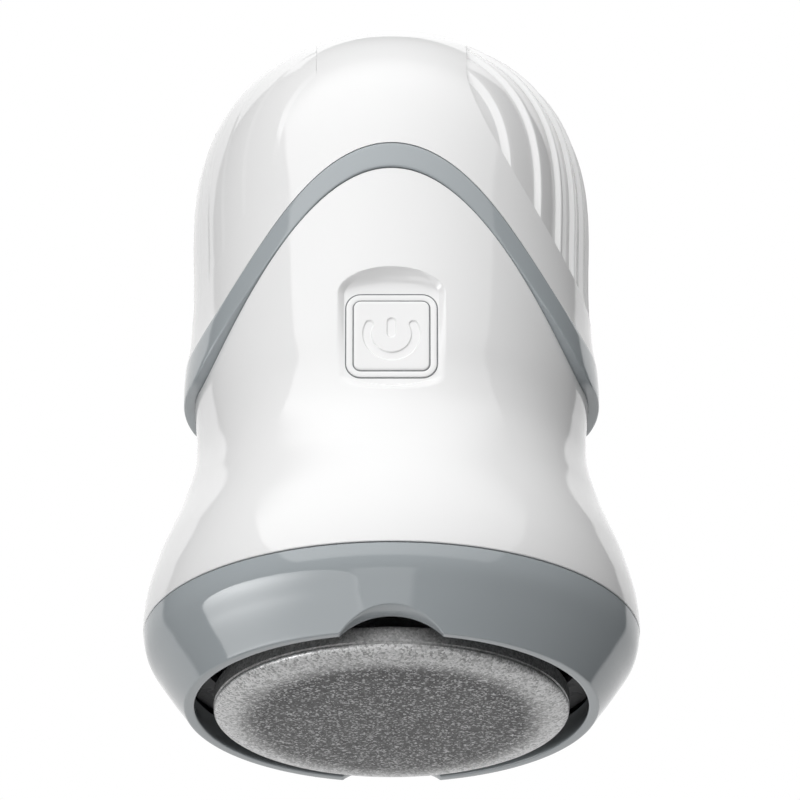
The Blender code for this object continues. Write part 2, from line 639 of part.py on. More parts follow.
def make_bulkhead():
    plate = ring("motor_bulkhead", BULKHEAD_R, 4.6 * MM, BULKHEAD_Z, BULKHEAD_Z + BULKHEAD_THICKNESS,
                 BLACK, 32)
    top = BULKHEAD_Z + BULKHEAD_THICKNESS
    hole = rod("screw_hole", 1.7 * MM, (35.0 * MM, 0.0, 10.0 * MM), (35.0 * MM, 0.0, 25.0 * MM), None, 12)
    combine(plate, join_copies("screw_holes", hole, spins(4, 45.0)))
    ring("dust_filter", 31.8 * MM, 26.2 * MM, 13.2 * MM, BULKHEAD_Z - GAP, FOAM, 32)
    for index, spin in enumerate(spins(4, 45.0)):
        position = spin @ Vector((35.0 * MM, 0.0, 0.0))
        screw = [(0.0, top + 7.0 * MM), (1.1 * MM, top + 7.0 * MM), (1.1 * MM, BULKHEAD_Z - GAP),
                 (2.6 * MM, BULKHEAD_Z - GAP), (2.2 * MM, BULKHEAD_Z - 2.0 * MM), (0.0, BULKHEAD_Z - 2.0 * MM)]
        turned("bulkhead_screw_%d" % (index + 1), screw, STEEL, 12, position)


def make_wires():
    end_z = CAN_TOP_Z + 6.0 * MM + 2 * GAP
    back_y = BOARD_FRONT_Y + BOARD_THICKNESS + GAP + 0.3 * MM
    for side, colour, word in ((-1, RED, "red"), (1, BLACK, "black")):
        x = side * 7.5 * MM
        wire("motor_lead_" + word, [(x, 6.0 * MM, end_z + 1.0 * MM), (x, 3.0 * MM, end_z + 1.4 * MM),
                                    (x * 1.3, -12.0 * MM, 48.5 * MM), (x, back_y, 45.0 * MM)], colour)
        wire("battery_lead_" + word, [(side * 11.6 * MM, -2.0 * MM, 84.0 * MM),
                                      (side * 12.4 * MM, -9.0 * MM, 80.0 * MM),
                                      (side * 11.5 * MM, back_y, 76.0 * MM)], colour)
        wire("charging_lead_" + word, [(side * 5.0 * MM, 22.0 * MM, 41.0 * MM),
                                       (side * 16.0 * MM, 18.0 * MM, 45.0 * MM),
                                       (side * 18.5 * MM, -6.0 * MM, 50.0 * MM),
                                       (side * 13.0 * MM, back_y, 52.0 * MM)], colour)


clear_scene()
PARTS = new_collection("electric_callus_remover")
CUTTERS = new_collection("cutters")

WHITE = new_material("white_gloss_plastic", (0.80, 0.80, 0.81), 0.12)
BLUE_GREY = new_material("blue_grey_gloss_plastic", (0.26, 0.28, 0.33), 0.15)
DARK = new_material("dark_plastic", (0.03, 0.03, 0.035), 0.5)
BLACK = new_material("black_plastic", (0.02, 0.02, 0.02), 0.45)
GREY = new_material("grey_plastic", (0.30, 0.31, 0.33), 0.35)
GRIT = new_material("abrasive_grit", (0.16, 0.16, 0.17), 0.6, 0.5)
STEEL = new_material("steel", (0.60, 0.60, 0.62), 0.3, 1.0)
BRASS = new_material("brass", (0.75, 0.55, 0.25), 0.3, 1.0)
COPPER = new_material("copper", (0.80, 0.40, 0.22), 0.3, 1.0)
ALUMINIUM = new_material("aluminium", (0.75, 0.75, 0.77), 0.3, 1.0)
GREEN = new_material("green_board", (0.02, 0.20, 0.08), 0.4)
RUBBER = new_material("silicone", (0.30, 0.30, 0.30), 0.7)
FOAM = new_material("filter_foam", (0.10, 0.10, 0.11), 0.95)
BLUE = new_material("battery_sleeve", (0.05, 0.16, 0.45), 0.3)
RED = new_material("red_insulation", (0.55, 0.02, 0.02), 0.45)

make_lower_housing()
make_upper_cover()
make_grip(-1, "left")
make_grip(1, "right")
make_trim_band()
make_joining_ring()
make_head_collar()
make_guard_plate()
make_button()
make_control_board()
make_charging()
make_battery()
make_motor()
make_rotor()
make_grinding_disc()
make_bulkhead()
make_wires()
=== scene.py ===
"""Looks for the electric callus remover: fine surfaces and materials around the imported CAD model.

Lengths are in metres in the CAD frame: +Z up the handle, the power button faces -Y.
"""

import json
import math

import bmesh
import bpy
import numpy as np
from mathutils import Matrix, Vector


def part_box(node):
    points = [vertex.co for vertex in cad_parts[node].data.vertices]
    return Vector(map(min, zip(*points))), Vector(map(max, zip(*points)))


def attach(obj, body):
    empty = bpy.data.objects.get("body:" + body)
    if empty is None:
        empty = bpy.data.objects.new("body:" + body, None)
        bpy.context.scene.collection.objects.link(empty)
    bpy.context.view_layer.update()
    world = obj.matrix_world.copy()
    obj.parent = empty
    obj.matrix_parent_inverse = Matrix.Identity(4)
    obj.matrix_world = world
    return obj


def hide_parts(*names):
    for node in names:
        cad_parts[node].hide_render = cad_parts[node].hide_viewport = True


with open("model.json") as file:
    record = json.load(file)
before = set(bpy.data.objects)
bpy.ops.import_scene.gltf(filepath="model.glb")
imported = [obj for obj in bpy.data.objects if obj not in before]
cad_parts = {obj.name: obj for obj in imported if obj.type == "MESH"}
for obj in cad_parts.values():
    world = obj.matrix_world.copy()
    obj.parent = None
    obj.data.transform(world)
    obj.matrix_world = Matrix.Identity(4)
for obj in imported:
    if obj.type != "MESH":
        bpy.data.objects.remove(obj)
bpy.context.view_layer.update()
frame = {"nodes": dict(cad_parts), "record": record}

MM = 0.001
MERGE_DISTANCE = 0.004 * MM    # vertices closer than this are one
SHARP_DEGREES = 35.0           # faces that meet at a larger angle keep a sharp edge

# Heights and radii read from the frame
LIP_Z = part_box("head_collar")[0].z
SEAM_Z = (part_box("head_collar")[1].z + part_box("lower_housing")[0].z) / 2
TOP_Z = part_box("upper_cover")[1].z
DISC_R = (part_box("abrasive_pad")[1].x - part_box("abrasive_pad")[0].x) / 2
BUTTON_Z = (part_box("button_bezel")[0].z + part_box("button_bezel")[1].z) / 2
BEZEL_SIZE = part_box("button_bezel")[1].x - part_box("button_bezel")[0].x
BUTTON_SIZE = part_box("power_button")[1].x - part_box("power_button")[0].x
BEZEL_FRONT_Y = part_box("button_bezel")[0].y
BUTTON_FRONT_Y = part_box("power_button")[0].y
SOCKET_Z = (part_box("charging_socket")[0].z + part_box("charging_socket")[1].z) / 2

# Side of the head and the lower housing: (height, radius) in millimetres
LOWER_KNOTS_MM = [(2.3, 34.95), (8.0, 39.0), (12.0, 41.4), (15.0, 42.05), (20.0, 41.85), (27.0, 40.1),
                  (38.0, 35.8), (46.0, 33.65), (51.0, 33.45), (57.0, 33.95), (63.0, 34.25),
                  (72.0, 34.5), (91.0, 34.7)]
# Side of the upper cover, which flares a little over the trim band
UPPER_KNOTS_MM = [(55.0, 35.45), (60.0, 35.65), (64.0, 35.4), (69.0, 34.85), (75.0, 34.55), (88.0, 34.73)]
DOME_BASE_Z = 88.0 * MM
DOME_RADIUS = 34.73 * MM
DOME_POWER = 2.5

COLLAR_MOUTH_R = 33.25 * MM
COLLAR_THROAT_Z = 7.4 * MM
COLLAR_FLARE = 1.1 * MM
COLLAR_BACK_MM = [(36.8, 9.0), (39.0, 12.0), (39.6, 15.0)]    # (radius, height) behind the throat
NOTCH_HALF_WIDTH = 8.5 * MM
NOTCH_HEIGHT = 3.7 * MM
INNER_NOTCH_SHARE = 0.86       # how high a notch is on the lip's inner side

BAND_TOP_SIDE_Z = 64.3 * MM
BAND_TOP_RISE = 27.5 * MM
BAND_LOW_SIDE_Z = 57.3 * MM
BAND_LOW_RISE = 29.8 * MM
BAND_WAVES = 1.2
BAND_PROUD = 0.2 * MM

GRIP_TIP_Z = 72.0 * MM
GRIP_FULL_Z = 108.0 * MM
GRIP_TOP_X = 12.9 * MM
GRIP_POWER = 1.5
GRIP_SUNK = 0.07 * MM          # how far the ribs' crests lie under the cover's surface
RIB_PITCH = 4.7 * MM
RIB_FIRST_Y = 0.55 * MM
RIB_HEIGHT = 0.8 * MM
LEFT_RIB_HEIGHT = 0.05 * MM
RIB_RISER = 0.15               # share of the pitch that a rib's riser takes
RIB_ROUNDING = 0.9             # share of a rib's height where its rounded crest begins
GRIP_SEAM = 0.05 * MM

RECESS_HALF_WIDTH = 9.1 * MM
RECESS_FLOOR_Y = -32.2 * MM
RECESS_ARCH = 4.4 * MM
RECESS_SILL = 2.8 * MM
RECESS_EDGE_SHARE = 0.125      # share of the half width that the sloping sides take
RECESS_SILL_SHARE = 0.6        # the same for the slope of the sill, added towards its foot
RECESS_SCOOP_SHARE = 0.75      # and for the scoop under the arch

# Sign for power, sunk into the button's face
SYMBOL_FIELD = 5.4 * MM        # half the side of the finely divided middle of the face
SYMBOL_DEPTH = 0.24 * MM
STROKE_HALF_WIDTH = 0.8 * MM
ARC_RADIUS = 4.09 * MM
ARC_RISE = 0.3 * MM            # how far the ring's centre lies above the middle of the face
ARC_END_ANGLE = math.radians(25)
BAR_LOW_Z, BAR_TOP_Z = 0.4 * MM, 2.5 * MM

PORT_WIDTH = 9.6 * MM
PORT_HEIGHT = 3.9 * MM
PORT_SNAP = 0.16 * MM          # vertices this near the port's outline move onto it
SEAM = 0.12 * MM               # half the gap at a seam
SEAM_ROUNDING = 0.12 * MM

# Side of the abrasive disc: (depth, height) in millimetres, the depth inwards from its radius
DISC_GROOVE_MM = [(0.0, 2.05), (0.15, 2.15), (0.25, 2.25), (0.25, 2.4), (0.15, 2.5), (0.0, 2.6)]
DISC_BACK_MM = [(0.1, 5.1), (0.4, 5.2), (1.2, 5.2), (1.2, 4.6)]

# Abrasive: grain size, and where the painted highlight on the crown begins and ends towards the rim
GRAINS_PER_METRE = 3100.0
GRIT_PAINTED_HIGHLIGHT_START_R, GRIT_PAINTED_HIGHLIGHT_END_R = 21.5 * MM, 28.0 * MM
GRIT_SIDE_Z = 1.9 * MM

# Studio: brightness of each part of the surroundings, and where it lies in degrees
KEY_TILT = 38.0
KEY_HALF_WIDTH = 1.3           # as a share of the softbox's distance
KEY_LEFT, KEY_RIGHT = 2.4, 1.22
SWEEP_EDGE, SWEEP_SHIFT = 131.0, 4.0
SWEEP_LEVEL = 1.08
LOW_LEVEL = 2.0
SPOT_LEVEL = 9.0
APRON_LEVEL = 1.2
BELOW_LEVEL = 0.75
FILL = 0.03
FLOOR_Z = -1.3
FLOOR_SIZE = 30.0
LOW_SLANT, LOW_RISE = 0.25, 21.5    # the low box's upper edge falls with azimuth
BOX_ROUNDNESS = 2.6            # 2 would make the low box an ellipse

# Camera: metres, degrees below the collar's lip, degrees up that it looks, and millimetres
CAMERA_DISTANCE = 1.0
CAMERA_BELOW = 21.4
CAMERA_UP = 24.39
CAMERA_LENS = 266.4
CAMERA_SHIFT_X = 0.0106


# ---------------------------------------------------------------- shapes shared by the pieces

def cubic_through(knots_mm, z):
    """Radius at heights z: a cubic through the (height, radius) knots."""
    heights = np.array([knot[0] for knot in knots_mm]) * MM
    radii = np.array([knot[1] for knot in knots_mm]) * MM
    slopes = np.gradient(radii, heights)
    z = np.asarray(z, dtype=float)
    i = np.clip(np.searchsorted(heights, z) - 1, 0, len(heights) - 2)
    span = heights[i + 1] - heights[i]
    t = np.clip((z - heights[i]) / span, 0.0, 1.0)
    return ((2 * t ** 3 - 3 * t ** 2 + 1) * radii[i] + (t ** 3 - 2 * t ** 2 + t) * span * slopes[i]
            + (3 * t ** 2 - 2 * t ** 3) * radii[i + 1] + (t ** 3 - t ** 2) * span * slopes[i + 1])


def lower_radius(z):
    return cubic_through(LOWER_KNOTS_MM, z)


def upper_radius(z):
    z = np.asarray(z, dtype=float)
    share = np.clip((z - DOME_BASE_Z) / (TOP_Z - DOME_BASE_Z), 0.0, 1.0)
    dome = DOME_RADIUS * (1.0 - share ** DOME_POWER) ** (1.0 / DOME_POWER)
    return np.where(z >= DOME_BASE_Z, dome, cubic_through(UPPER_KNOTS_MM, z))


def band_height(theta, side_z, rise):
    """Height of a trim-band edge at azimuth theta from the front, the same at the back."""
    folded = np.abs((np.asarray(theta) + math.pi) % (2 * math.pi) - math.pi)
    folded = np.minimum(folded, math.pi - folded)
    wave = np.where(BAND_WAVES * folded < math.pi / 2, np.cos(BAND_WAVES * folded) ** 2, 0.0)
    return side_z + rise * wave


def grip_edge_x(z):
    """Distance from the middle plane to a grip's edge at height z."""
    share = np.clip((z - GRIP_TIP_Z) / (GRIP_FULL_Z - GRIP_TIP_Z), 0.0, 1.0)
    tip_x = float(upper_radius(GRIP_TIP_Z)) + 0.02 * MM
    edge = GRIP_TOP_X + (tip_x - GRIP_TOP_X) * (1.0 - share) ** GRIP_POWER
    return np.where(z < GRIP_TIP_Z, 1.0, edge)


def ramp(x, low, high):
    """0 below low, 1 above high, and smooth between."""
    t = np.clip((x - low) / (high - low), 0.0, 1.0)
    return t * t * (3 - 2 * t)


# ---------------------------------------------------------------- mesh helpers

def new_piece(name, verts, faces, material, body, replaced=(), sharp=SHARP_DEGREES):
    """A smooth-shaded piece, joined where its patches meet, which rides on a body of the frame."""
    mesh = bpy.data.meshes.new(name)
    mesh.from_pydata([tuple(v) for v in verts], [], faces)
    work = bmesh.new()
    work.from_mesh(mesh)
    bmesh.ops.remove_doubles(work, verts=work.verts, dist=MERGE_DISTANCE)
    bmesh.ops.dissolve_degenerate(work, edges=work.edges, dist=MERGE_DISTANCE / 2)
    loose = [v for v in work.verts if not v.link_faces]
    bmesh.ops.delete(work, geom=loose, context="VERTS")
    work.to_mesh(mesh)
    work.free()
    mesh.materials.append(material)
    mesh.shade_smooth()
    mesh.set_sharp_from_angle(angle=math.radians(sharp))
    piece = bpy.data.objects.new(name, mesh)
    bpy.context.scene.collection.objects.link(piece)
    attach(piece, body)
    if replaced:
        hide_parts(*replaced)
    return piece


def grid_faces(rows, columns, closed=False, start=0, flip=False):
    """Quads over a grid of vertices numbered from start; a closed grid joins its last and first column."""
    faces = []
    for r in range(rows - 1):
        for c in range(columns if closed else columns - 1):
            here = start + r * columns
            above = here + columns
            beside = (c + 1) % columns
            quad = (here + c, here + beside, above + beside, above + c)
            faces.append((quad[0], quad[3], quad[2], quad[1]) if flip else quad)
    return faces


def around(theta, radius, z):
    """Points at azimuth theta from the front (-Y), turning towards +X."""
    theta, radius, z = np.broadcast_arrays(theta, radius, z)
    return np.stack([radius * np.sin(theta), -radius * np.cos(theta), z], axis=-1)


def azimuths(fine_degrees, coarse_step, fine_step):
    """Azimuths once round, closer together near the front and the back."""
    fine = np.arange(-fine_degrees, fine_degrees, fine_step)
    side = np.arange(fine_degrees, 180.0 - fine_degrees, coarse_step)
    turn = np.concatenate([fine, side, fine + 180.0, side + 180.0])
    return np.radians(turn)


def square_loop(size, corner, y, centre_z, steps=8):
    """Points round a square with round corners, in the plane at depth y."""
    half = size / 2 - corner
    loop = []
    for quarter in range(4):
        middle = math.radians(45 + 90 * quarter)
        cx = math.copysign(half, math.cos(middle))
        cz = math.copysign(half, math.sin(middle))
        for step in range(steps + 1):
            angle = math.radians(90 * quarter + 90 * step / steps)
            loop.append((cx + corner * math.cos(angle), y, centre_z + cz + corner * math.sin(angle)))
    return loop


# ---------------------------------------------------------------- materials

def new_material(name):
    material = bpy.data.materials.new(name)
    material.use_nodes = True
    tree = material.node_tree
    return material, tree, tree.nodes["Principled BSDF"]


def calculate(tree, operation, *values):
    """A Math node; each value is a number or the output of another node."""
    node = tree.nodes.new("ShaderNodeMath")
    node.operation = operation
    for socket, value in zip(node.inputs, values):
        if isinstance(value, (int, float)):
            socket.default_value = value
        else:
            tree.links.new(value, socket)
    return node.outputs["Value"]


def add_mix(tree, share, first, second):
    """The first colour where share is 0, the second where it is 1."""
    node = tree.nodes.new("ShaderNodeMix")
    node.data_type = "RGBA"
    colours = [socket for socket in node.inputs if socket.type == "RGBA"]
    tree.links.new(share, node.inputs["Factor"])
    tree.links.new(first, colours[0])
    tree.links.new(second, colours[1])
    return next(socket for socket in node.outputs if socket.type == "RGBA")


def add_map(tree, value, low, high):
    """A Map Range node that takes low to 0 and high to 1."""
    node = tree.nodes.new("ShaderNodeMapRange")
    tree.links.new(value, node.inputs["Value"])
    node.inputs["From Min"].default_value = low
    node.inputs["From Max"].default_value = high
    return node


def add_noise(tree, scale, detail):
    coords = tree.nodes.new("ShaderNodeTexCoord")
    noise = tree.nodes.new("ShaderNodeTexNoise")
    noise.inputs["Scale"].default_value = scale
    noise.inputs["Detail"].default_value = detail
    tree.links.new(coords.outputs["Object"], noise.inputs["Vector"])
    return noise


def grey(level):
    return (level, level, level)


def add_ramp(tree, source, stops):
    """The colour for a value, by (value, colour) stops."""
    node = tree.nodes.new("ShaderNodeValToRGB")
    elements = node.color_ramp.elements
    while len(elements) < len(stops):
        elements.new(0.5)
    for element, (place, colour) in zip(elements, stops):
        element.position = place
        element.color = (*colour, 1.0)
    tree.links.new(source, node.inputs["Fac"])
    return node.outputs["Color"]


def add_gloss(tree, noise, shader, low, high):
    """Roughness that wanders between low and high."""
    gloss = add_ramp(tree, noise.outputs["Fac"], [(0.3, grey(low)), (0.7, grey(high))])
    tree.links.new(gloss, shader.inputs["Roughness"])


def add_bump(tree, source, shader, strength, distance):
    bump = tree.nodes.new("ShaderNodeBump")
    bump.inputs["Strength"].default_value = strength
    bump.inputs["Distance"].default_value = distance
    tree.links.new(source, bump.inputs["Height"])
    tree.links.new(bump.outputs["Normal"], shader.inputs["Normal"])


def moulded_plastic(name, colour, roughness, spread=0.03, waviness=0.02):
    """Moulded plastic: slight colour drift, faint flow marks in the gloss and a soft ripple."""
    material, tree, shader = new_material(name)
    drift = add_noise(tree, 45.0, 2.0)
    low = tuple(c * (1.0 - spread) for c in colour)
    tint = add_ramp(tree, drift.outputs["Fac"], [(0.35, low), (0.65, colour)])
    tree.links.new(tint, shader.inputs["Base Color"])
    flow = add_noise(tree, 260.0, 3.0)
    add_gloss(tree, flow, shader, roughness * 0.85, roughness * 1.2)
    ripple = add_noise(tree, 120.0, 1.0)
    add_bump(tree, ripple.outputs["Fac"], shader, waviness, 0.2 * MM)
    shader.inputs["IOR"].default_value = 1.5
    return material


def metal(name, colour, roughness):
    """Worn, lightly brushed metal."""
    material, tree, shader = new_material(name)
    shader.inputs["Metallic"].default_value = 1.0
    grain = add_noise(tree, 900.0, 4.0)
    tint = add_ramp(tree, grain.outputs["Fac"], [(0.3, tuple(0.8 * c for c in colour)), (0.7, colour)])
    tree.links.new(tint, shader.inputs["Base Color"])
    add_gloss(tree, grain, shader, roughness * 0.8, roughness * 1.3)
    add_bump(tree, grain.outputs["Fac"], shader, 0.1, 0.05 * MM)
    return material


def soft_material(name, colour, roughness, scale, strength):
    """Silicone, foam or rubber: matte, with a fine grain."""
    material, tree, shader = new_material(name)
    grain = add_noise(tree, scale, 4.0)
    tint = add_ramp(tree, grain.outputs["Fac"], [(0.3, tuple(0.7 * c for c in colour)), (0.7, colour)])
    tree.links.new(tint, shader.inputs["Base Color"])
    shader.inputs["Roughness"].default_value = roughness
    add_bump(tree, grain.outputs["Fac"], shader, strength, 0.3 * MM)
    return material


def grit_material(name):
    """Bonded mineral grit: bright grains in a dark binder on the flat, pale towards the rim as a painted
    highlight with some metallic shine, and plainer on the side."""
    material, tree, shader = new_material(name)
    coords = tree.nodes.new("ShaderNodeTexCoord")
    cells = tree.nodes.new("ShaderNodeTexVoronoi")
    cells.inputs["Scale"].default_value = GRAINS_PER_METRE
    tree.links.new(coords.outputs["Object"], cells.inputs["Vector"])
    grain = tree.nodes.new("ShaderNodeSeparateColor")
    tree.links.new(cells.outputs["Color"], grain.inputs["Color"])
    clumps = add_noise(tree, 700.0, 5.0)
    shade = calculate(tree, "MULTIPLY_ADD", clumps.outputs["Fac"], 0.5, -0.25)
    value = calculate(tree, "MULTIPLY_ADD", grain.outputs["Red"], 0.75, shade)

    split = tree.nodes.new("ShaderNodeSeparateXYZ")
    tree.links.new(coords.outputs["Object"], split.inputs["Vector"])
    x_squared = calculate(tree, "MULTIPLY", split.outputs["X"], split.outputs["X"])
    y_squared = calculate(tree, "MULTIPLY", split.outputs["Y"], split.outputs["Y"])
    radius = calculate(tree, "SQRT", calculate(tree, "ADD", x_squared, y_squared))
    # where the crown's painted highlight fades in towards the rim; the same mask adds the metallic shine
    rim = add_map(tree, radius, GRIT_PAINTED_HIGHLIGHT_START_R, GRIT_PAINTED_HIGHLIGHT_END_R)
    rim.interpolation_type = "SMOOTHSTEP"
    wall = add_map(tree, split.outputs["Z"], GRIT_SIDE_Z, GRIT_SIDE_Z + 0.3 * MM)

    flat = add_ramp(tree, value, [(0.25, (0.012, 0.012, 0.013)), (0.50, (0.035, 0.035, 0.036)),
                                  (0.66, (0.42, 0.42, 0.425)), (1.0, (0.95, 0.95, 0.96))])
    # the crown's pale colour is a painted highlight, for the light that the domed edge catches from below
    crown = add_ramp(tree, value, [(0.0, grey(0.34)), (0.4, grey(0.70)), (1.0, grey(0.96))])
    side = add_ramp(tree, value, [(0.0, grey(0.32)), (1.0, grey(0.66))])
    face = add_mix(tree, rim.outputs["Result"], flat, crown)
    tree.links.new(add_mix(tree, wall.outputs["Result"], face, side), shader.inputs["Base Color"])
    shine = calculate(tree, "MULTIPLY", rim.outputs["Result"], 0.35)
    tree.links.new(shine, shader.inputs["Metallic"])
    sparkle = add_ramp(tree, grain.outputs["Green"], [(0.3, grey(0.5)), (1.0, grey(0.28))])
    tree.links.new(sparkle, shader.inputs["Roughness"])
    add_bump(tree, value, shader, 0.35, 0.1 * MM)
    return material


WHITE = moulded_plastic("white_gloss", (0.89, 0.89, 0.89), 0.05, 0.012, 0.006)
BLUE_GREY = moulded_plastic("blue_grey_gloss", (0.405, 0.44, 0.46), 0.05, 0.03, 0.008)
DARK_INNER = moulded_plastic("dark_inner_plastic", (0.26, 0.26, 0.265), 0.3, 0.1, 0.05)
BLACK_INNER = moulded_plastic("black_inner_plastic", (0.02, 0.02, 0.022), 0.45, 0.1, 0.05)
CARRIER = moulded_plastic("carrier_plastic", (0.30, 0.31, 0.32), 0.35, 0.06, 0.05)
BOARD = moulded_plastic("green_board", (0.02, 0.18, 0.07), 0.35, 0.2, 0.05)
SLEEVE = moulded_plastic("battery_sleeve", (0.04, 0.13, 0.42), 0.25, 0.1, 0.03)
GRIT = grit_material("abrasive_grit")
STEEL = metal("plated_steel", (0.62, 0.62, 0.63), 0.28)
BRASS = metal("turned_brass", (0.78, 0.56, 0.25), 0.28)
COPPER = metal("copper", (0.80, 0.40, 0.22), 0.3)
FERRITE = metal("ferrite", (0.12, 0.12, 0.125), 0.5)
ALUMINIUM = metal("aluminium", (0.78, 0.78, 0.80), 0.25)
# grey silicone for the silicone parts, also used for the rings that paint the shadow in the button's gaps
SILICONE_AND_GAP_SHADE = soft_material("grey_silicone_and_gap_shade", (0.18, 0.19, 0.20), 0.6, 800.0, 0.1)
FOAM = soft_material("filter_foam", (0.10, 0.10, 0.11), 0.95, 1500.0, 1.0)
RED_LEAD = soft_material("red_insulation", (0.55, 0.02, 0.02), 0.45, 600.0, 0.05)
BLACK_LEAD = soft_material("black_insulation", (0.02, 0.02, 0.02), 0.45, 600.0, 0.05)

SLOT_MATERIALS = {"white_shell": WHITE, "blue_grey_trim": BLUE_GREY, "dark_inner": DARK_INNER,
                  "black_inner": BLACK_INNER, "carrier_grey": CARRIER, "abrasive": GRIT, "steel": STEEL,
                  "brass": BRASS, "copper": COPPER, "magnet": FERRITE, "aluminium": ALUMINIUM,
                  "circuit_board": BOARD, "silicone": SILICONE_AND_GAP_SHADE, "foam": FOAM, "battery_sleeve": SLEEVE,
                  "red_lead": RED_LEAD, "black_lead": BLACK_LEAD}


def dress_cad_nodes():
    """Give every CAD node the material of its slot in the record."""
    for part in frame["record"]["subparts"]:
        node = frame["nodes"][part["node"]]
        for place in node.material_slots:
            place.material = SLOT_MATERIALS[part["material_slot"]]


# ---------------------------------------------------------------- outer shells

def grip_edge_angle(z):
    """Azimuth of a grip's edge at height z, a right angle below the grip and at the crown."""
    radius = np.maximum(upper_radius(z), 1e-9)
    return np.arcsin(np.clip(grip_edge_x(z) / radius, 0.0, 1.0))


def add_skirt(piece, depth, skip=None):
    """Turn the open edges inwards, apart from those that skip is true for, so that a seam shows depth."""
    work = bmesh.new()
    work.from_mesh(piece.data)
    work.normal_update()
    rim = [e for e in work.edges if e.is_boundary and not (skip and skip(e))]
    normals = {}
    for edge in rim:
        for v in edge.verts:
            normals[tuple(v.co)] = v.normal.copy()
    made = bmesh.ops.extrude_edge_only(work, edges=rim)
    for v in (g for g in made["geom"] if isinstance(g, bmesh.types.BMVert)):
        v.co -= normals[tuple(v.co)] * depth
    work.to_mesh(piece.data)
    work.free()
    piece.data.set_sharp_from_angle(angle=math.radians(SHARP_DEGREES))


def make_upper_cover():
    """Two strips between the trim band and the grips, the strip over the dome above them,
    and their mirror images behind."""
    rows, half_columns = 110, 61
    apex_z = BAND_TOP_SIDE_Z + BAND_TOP_RISE + SEAM
    share = np.linspace(0.0, 1.0, half_columns)
    # the strips: rows from the foot of the band's arch up to its apex
    rise = np.linspace(0.0, 1.0, rows)
    z = BAND_TOP_SIDE_Z + SEAM + BAND_TOP_RISE * np.sin(rise * math.pi / 2) ** 2
    z[-1] = apex_z
    band_angle = math.pi / 2 / BAND_WAVES * (1.0 - rise)
    theta = band_angle[:, None] + share[None, :] * (grip_edge_angle(z) - band_angle)[:, None]
    right = around(theta, upper_radius(z)[:, None], z[:, None])
    left = right * np.array([-1.0, 1.0, 1.0])
    # the dome: rows from the apex to the crown, closer together at the crown
    climb = 1.0 - (1.0 - np.linspace(0.0, 1.0, rows)) ** 2
    z = apex_z + (TOP_Z - apex_z) * climb
    z[-1] = TOP_Z
    across = np.concatenate([-share[:0:-1], share])
    dome = around(across[None, :] * grip_edge_angle(z)[:, None], upper_radius(z)[:, None], z[:, None])
    verts, faces = [], []
    for patch, mirrored in ((right, False), (left, True), (dome, False)):
        for depth in (1.0, -1.0):
            flip = mirrored != (depth < 0)
            faces += grid_faces(*patch.shape[:2], start=len(verts), flip=flip)
            verts += list((patch * np.array([1.0, depth, 1.0])).reshape(-1, 3))
    cover = new_piece("upper_cover_skin", verts, faces, WHITE, "housing", ("upper_cover",))
    add_skirt(cover, 1.5 * MM)


def rib_relief(y, crest):
    """Height of the ribs at depth y: each rises sharply towards the front and falls slowly behind."""
    phase = ((np.abs(y) - RIB_FIRST_Y) / RIB_PITCH) % 1.0
    slow = phase / (1.0 - RIB_RISER)
    quick = (1.0 - phase) / RIB_RISER
    height = np.minimum(slow, quick)
    rounded = RIB_ROUNDING + (height - RIB_ROUNDING) * 0.5
    return crest * np.where(height > RIB_ROUNDING, rounded, height)


def make_grip(side, word, crest):
    """Rows run over the dome at constant depth, so that each rib lies along a row."""
    row_count, row_points, skirt = 520, 64, 1.2 * MM
    samples = np.linspace(GRIP_TIP_Z, TOP_Z - 0.05 * MM, 3000)
    base = upper_radius(samples)
    edge = grip_edge_x(samples) + GRIP_SEAM
    reach = math.sqrt(float(np.max(base ** 2 - edge ** 2)))
    rows = []
    for y in reach * np.sin(np.linspace(-math.pi / 2, math.pi / 2, row_count)):
        x_squared = base ** 2 - y ** 2
        x = np.sqrt(np.maximum(x_squared, 0.0))
        inside = np.nonzero((x_squared > 0) & (x > edge))[0]
        if len(inside) < 6:
            continue
        zs, xs = samples[inside[0]:inside[-1] + 1], x[inside[0]:inside[-1] + 1]
        length = np.concatenate([[0.0], np.cumsum(np.hypot(np.diff(zs), np.diff(xs)))])
        if length[-1] < 0.1 * MM:
            continue
        along = length[-1] * 0.5 * (1 - np.cos(np.linspace(0.0, math.pi, row_points)))
        z_row = np.interp(along, length, zs)
        x_row = np.interp(along, length, xs)
        y_row = np.full_like(x_row, y)
        out = np.stack([x_row, y_row, (z_row - DOME_BASE_Z).clip(0.0)], axis=1)
        out /= np.linalg.norm(out, axis=1)[:, None]
        point = np.stack([x_row, y_row, z_row], axis=1)
        point = point + out * (rib_relief(y, crest) - crest - GRIP_SUNK)
        skirt_low = point[0] - out[0] * skirt
        skirt_high = point[-1] - out[-1] * skirt
        rows.append(np.concatenate([skirt_low[None], point, skirt_high[None]]))
    points = np.stack(rows)
    points[..., 0] *= side
    faces = grid_faces(*points.shape[:2], flip=side > 0)
    new_piece("grip_" + word + "_ribs", points.reshape(-1, 3), faces, WHITE, "housing",
              ("grip_" + word,), 50.0)


